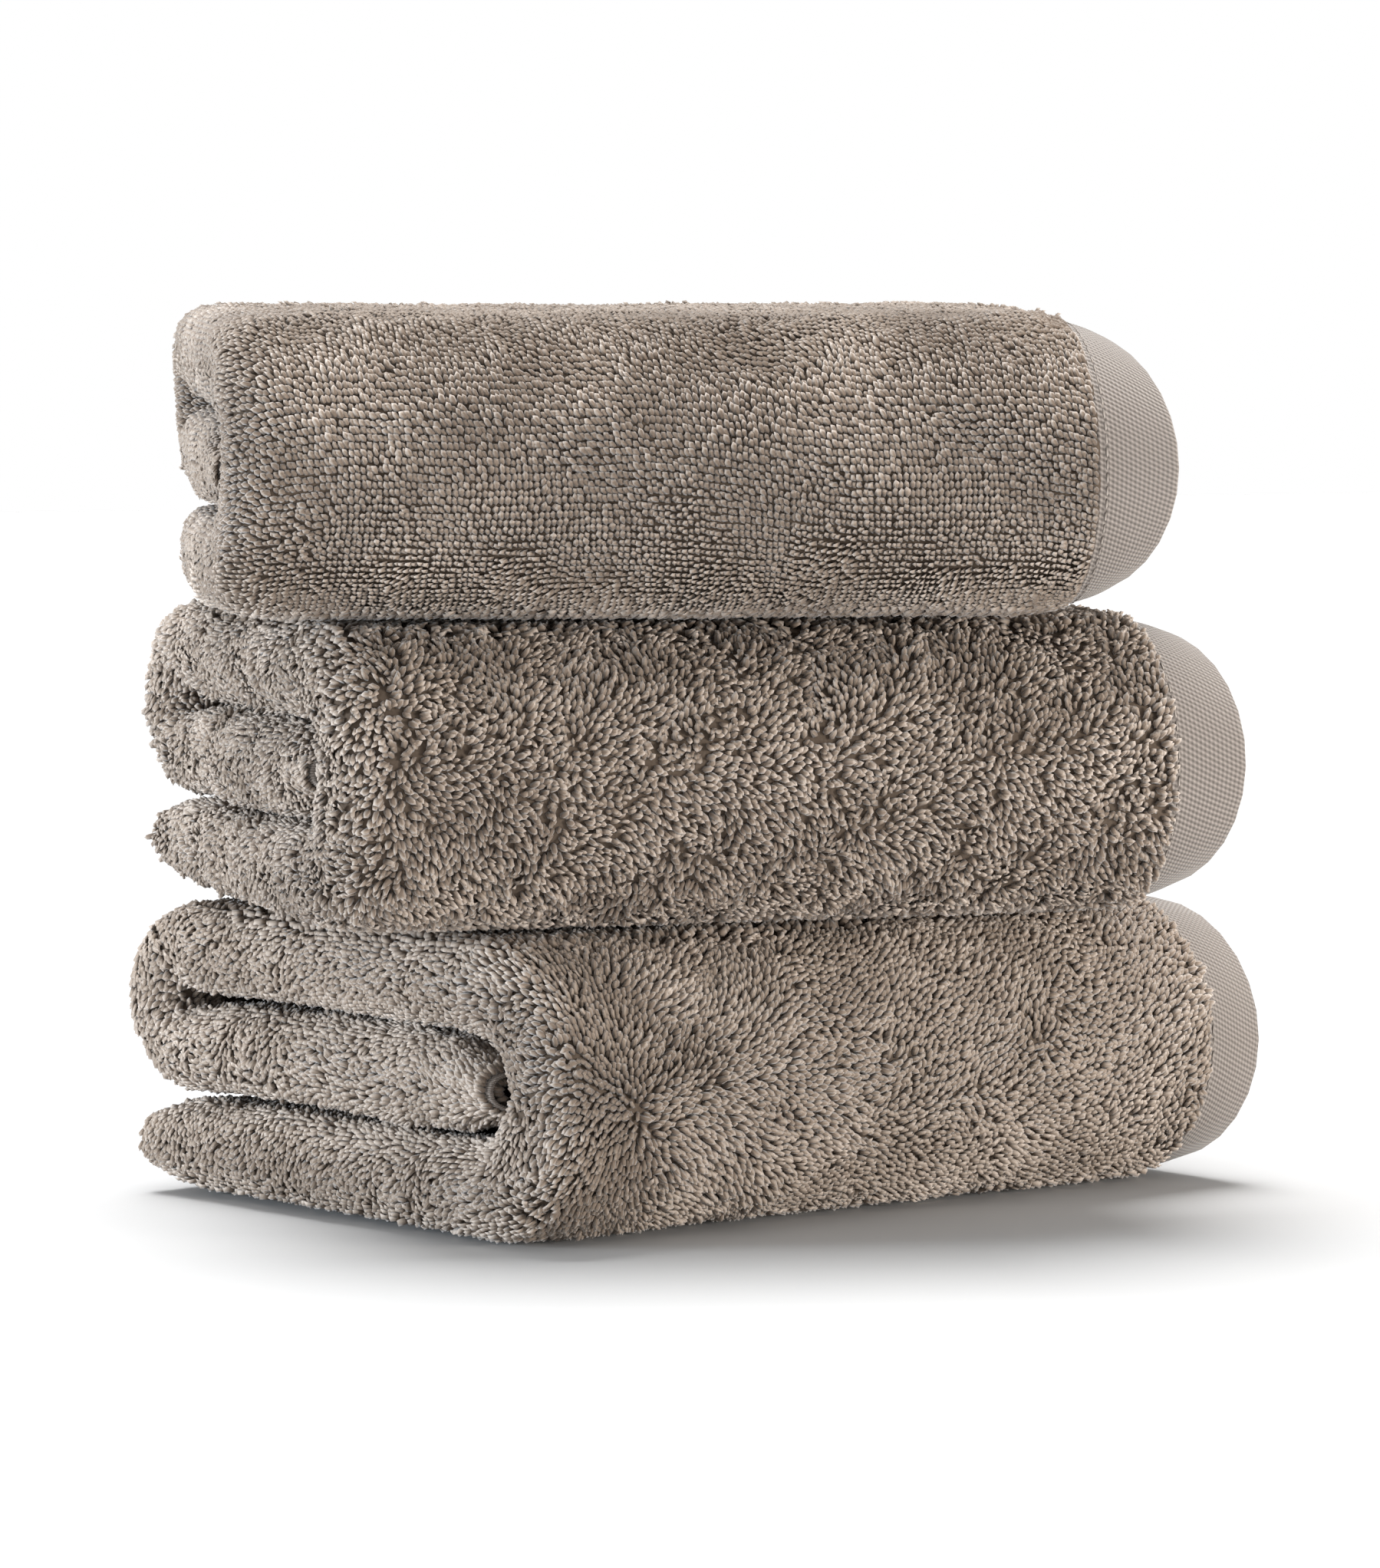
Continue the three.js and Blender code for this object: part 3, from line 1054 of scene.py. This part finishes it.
def region(towel, at, own, out):
    """Which part of the towel each place belongs to."""
    part = np.full(len(own), SEEN)
    part[(own[:, 1] > DEPTH / 2 - UP_BACK) & (out[:, 1] > 0.3)] = BACK
    part[own[:, 0] > LENGTH / 2 - END_SETBACK - 2 * PLY] = BACK
    part[(own[:, 2] < FLAT_ZONE) & (out[:, 2] < -0.8)] = PRESSED
    part[(own[:, 2] > HEIGHT - FLAT_ZONE) & (out[:, 2] > 0.8) & covered(towel, at)] = PRESSED
    return part


try_out = sites("top_towel", 1, SEEN_PITCH, np.random.default_rng(0))[0]
print("places on the outer face of the top towel:", len(try_out))

# %% [markdown]
# ## Growing the loops
# Each loop starts a little inside the cloth, rises, and bends over the way that the nap goes
# there. Between two towels the loops are pressed nearly flat. Length, width and shade differ a
# little from loop to loop, as yarn does.

# %% Growing the loops
FOOT_DEPTH = 0.5 * MM
FINEST = 2.3 * MM
BEARING_GAP = 0.1 * MM
LEAN_STRAY, LEAN_SWELL = 20, 8
LEAN_LIMITS = (14, 76)
CORNER_RISE = 16
# Painted shade: how much darker the loops are painted at the bottom towel's plump front corner.
CORNER_PAINTED_SHADE = 0.5
PRESSED_LEAN = math.radians(71)
# A painted sheen: how much lighter the pressed loops are painted.
PRESSED_PAINTED_SHEEN = 0.35
# Each loop's own random tone, then slow patches of painted light and shade in the nap, lighter where it
# would lean towards the light, and the sizes of those patches.
SHADE_STRAY, NAP_PAINTED_LIGHT = 0.13, 0.2
SHADE_PATCHES = (0.11, 0.03)
SWIRL_SEED, LEAN_SEED, SHADE_SEED = 31, 5, 77


def spindles(at, out, way, lean, length, wide, roll):
    """Grains that stand on the cloth at these places and bend over as they lean."""
    first = out * np.cos(lean * 0.3) + way * np.sin(lean * 0.3)
    last = out * np.cos(lean * 1.7) + way * np.sin(lean * 1.7)
    broad = np.cross(out, way) * np.cos(roll) + out * np.sin(roll)
    z = GRAIN[:, 2][None, :, None]
    heading = first[:, None] + (last - first)[:, None] * z
    thick = np.cross(heading, np.broadcast_to(broad[:, None], heading.shape))
    thick /= np.linalg.norm(thick, axis=-1, keepdims=True)
    middle = (first[:, None] * z + (last - first)[:, None] * z**2 / 2) * length[:, None]
    foot = at - out * FOOT_DEPTH
    aside = broad[:, None] * GRAIN[None, :, 0, None] * wide[:, None]
    return foot[:, None] + middle + aside + thick * GRAIN[None, :, 1, None] * wide[:, None] * LOOP_THICK


def grow(towel, face, part, rng):
    """The loops of one part of one face: their points, and how light each of them is."""
    kind = PILE[towel]
    pitch = PITCHES[part]
    at, _, _, out = surface(*sites(towel, face, pitch, rng), face, towel)
    own = own_frame(at, towel)
    out_own = turned(out, -PLACES[towel][0])
    keep = region(towel, at, own, out_own) == part
    at, own, out, out_own = (a[keep] for a in (at, own, out, out_own))
    count = len(at)
    seed = TOWELS.index(towel)
    patch = kind["patch"] * MM
    swirl = np.stack([field(own, SWIRL_SEED + 7 * k + seed, patch, patch / 5) for k in range(3)], -1)
    way = combed(own, towel)
    way = way / np.linalg.norm(way, axis=1)[:, None] + kind["swirl"] * swirl
    way = way + rng.normal(0, kind["stray"], (count, 3))
    way -= out_own * (way * out_own).sum(1)[:, None]
    way /= np.linalg.norm(way, axis=1)[:, None] + 1e-9
    way = turned(way, PLACES[towel][0])
    near = near_corner(own, towel)
    lean = kind["lean"] - CORNER_RISE * near
    lean = lean + LEAN_SWELL * field(own, LEAN_SEED + seed, patch, patch / 4)
    lean = lean + rng.normal(0, LEAN_STRAY * kind["stray"], count)
    lean = np.radians(np.clip(lean, *LEAN_LIMITS))[:, None]
    if part == PRESSED:
        lean = np.maximum(lean, PRESSED_LEAN)
    coarse = pitch / FINEST
    length = kind["length"] * MM * coarse**0.5 * rng.normal(1, 0.12, count).clip(0.65, 1.35)[:, None]
    wide = kind["wide"] * MM * coarse * rng.normal(1, 0.1, count).clip(0.7, 1.3)[:, None]
    roll = rng.normal(0, LOOP_ROLL * kind["stray"], count)[:, None]
    points = spindles(at, out, way, lean, length, wide, roll)
    low = PLACES[towel][1][2] + BEARING_GAP
    high = math.inf if towel == TOWELS[-1] else low + HEIGHT - 2 * BEARING_GAP
    points[..., 2] = points[..., 2].clip(low, high)
    # The tint: the towel's own, whose differences from towel to towel are painted light and shade;
    # painted shade at the plump corner; a random tone for each loop; slow patches of painted light and
    # shade; and a painted sheen on pressed loops.
    tint = kind["tint"] - CORNER_PAINTED_SHADE * near + SHADE_STRAY * rng.normal(size=count)
    tint = tint + NAP_PAINTED_LIGHT * field(own, SHADE_SEED + seed, *SHADE_PATCHES)
    tint = tint + PRESSED_PAINTED_SHEEN * (part == PRESSED)
    return points, tint.clip(0, 1)


# %% [markdown]
# ## The colour of the pile
# A loop is painted dark at its root, painted shade where little light gets in, and light at its
# tip. Its rim is painted a little lighter than its middle: a painted highlight on the two strands
# of a loop, with painted shade in the hole between them. How light it is as a whole comes from
# its tint. A little sheen stands for the fine fibres of the yarn.

# %% The pile's colour and the finished pieces
pile_finish = Finish(
    "terry_pile", Roughness=0.75, Specular_IOR_Level=0.3, Sheen_Weight=0.28, Sheen_Roughness=0.5
)
glow = pile_finish.attribute("glow")
tint = pile_finish.attribute("tint")
tip = tint.between(scaled(YARN_TIP, 0.84), scaled(YARN_TIP, 1.2))
body = (glow * (tint * 1.2 + 1.7) + tint * 0.28).clamped().between(YARN_IN_SHADE, YARN_IN_HALF_SHADE)
tipped = ((glow + tint * 0.2 - 0.38) * 1.7).clamped()
pile_finish.drive("Base Color", tipped.between(body, tip))
# Painted light on each grain: painted shade at its root, lighter towards its tip, and a painted
# highlight on its rim.
PAINTED_LOOP_LIGHT = GRAIN[:, 2] * (0.36 + 0.64 * GRAIN_RIM)


def pile(towel, seed):
    """All the loops of a towel, in pieces of no more than LOOPS_IN_PIECE."""
    rng = np.random.default_rng(seed)
    grown = [grow(towel, face, part, rng) for part in PITCHES for face in (1, -1)]
    print(towel, "loops on its parts and faces:", [len(g[0]) for g in grown])
    points = np.concatenate([g[0] for g in grown])
    tints = np.concatenate([g[1] for g in grown])
    count = len(points)
    shares = np.array_split(np.arange(count), math.ceil(count / LOOPS_IN_PIECE))
    pieces = []
    for k, share in enumerate(shares):
        name = f"{towel}_pile_{k + 1}"
        tint = tints[share][:, None]
        pieces.append(grains(name, points[share], pile_finish, "terry", towel, glow=PAINTED_LOOP_LIGHT, tint=tint))
    return pieces


piles = {towel: pile(towel, 100 + k) for k, towel in enumerate(TOWELS)}
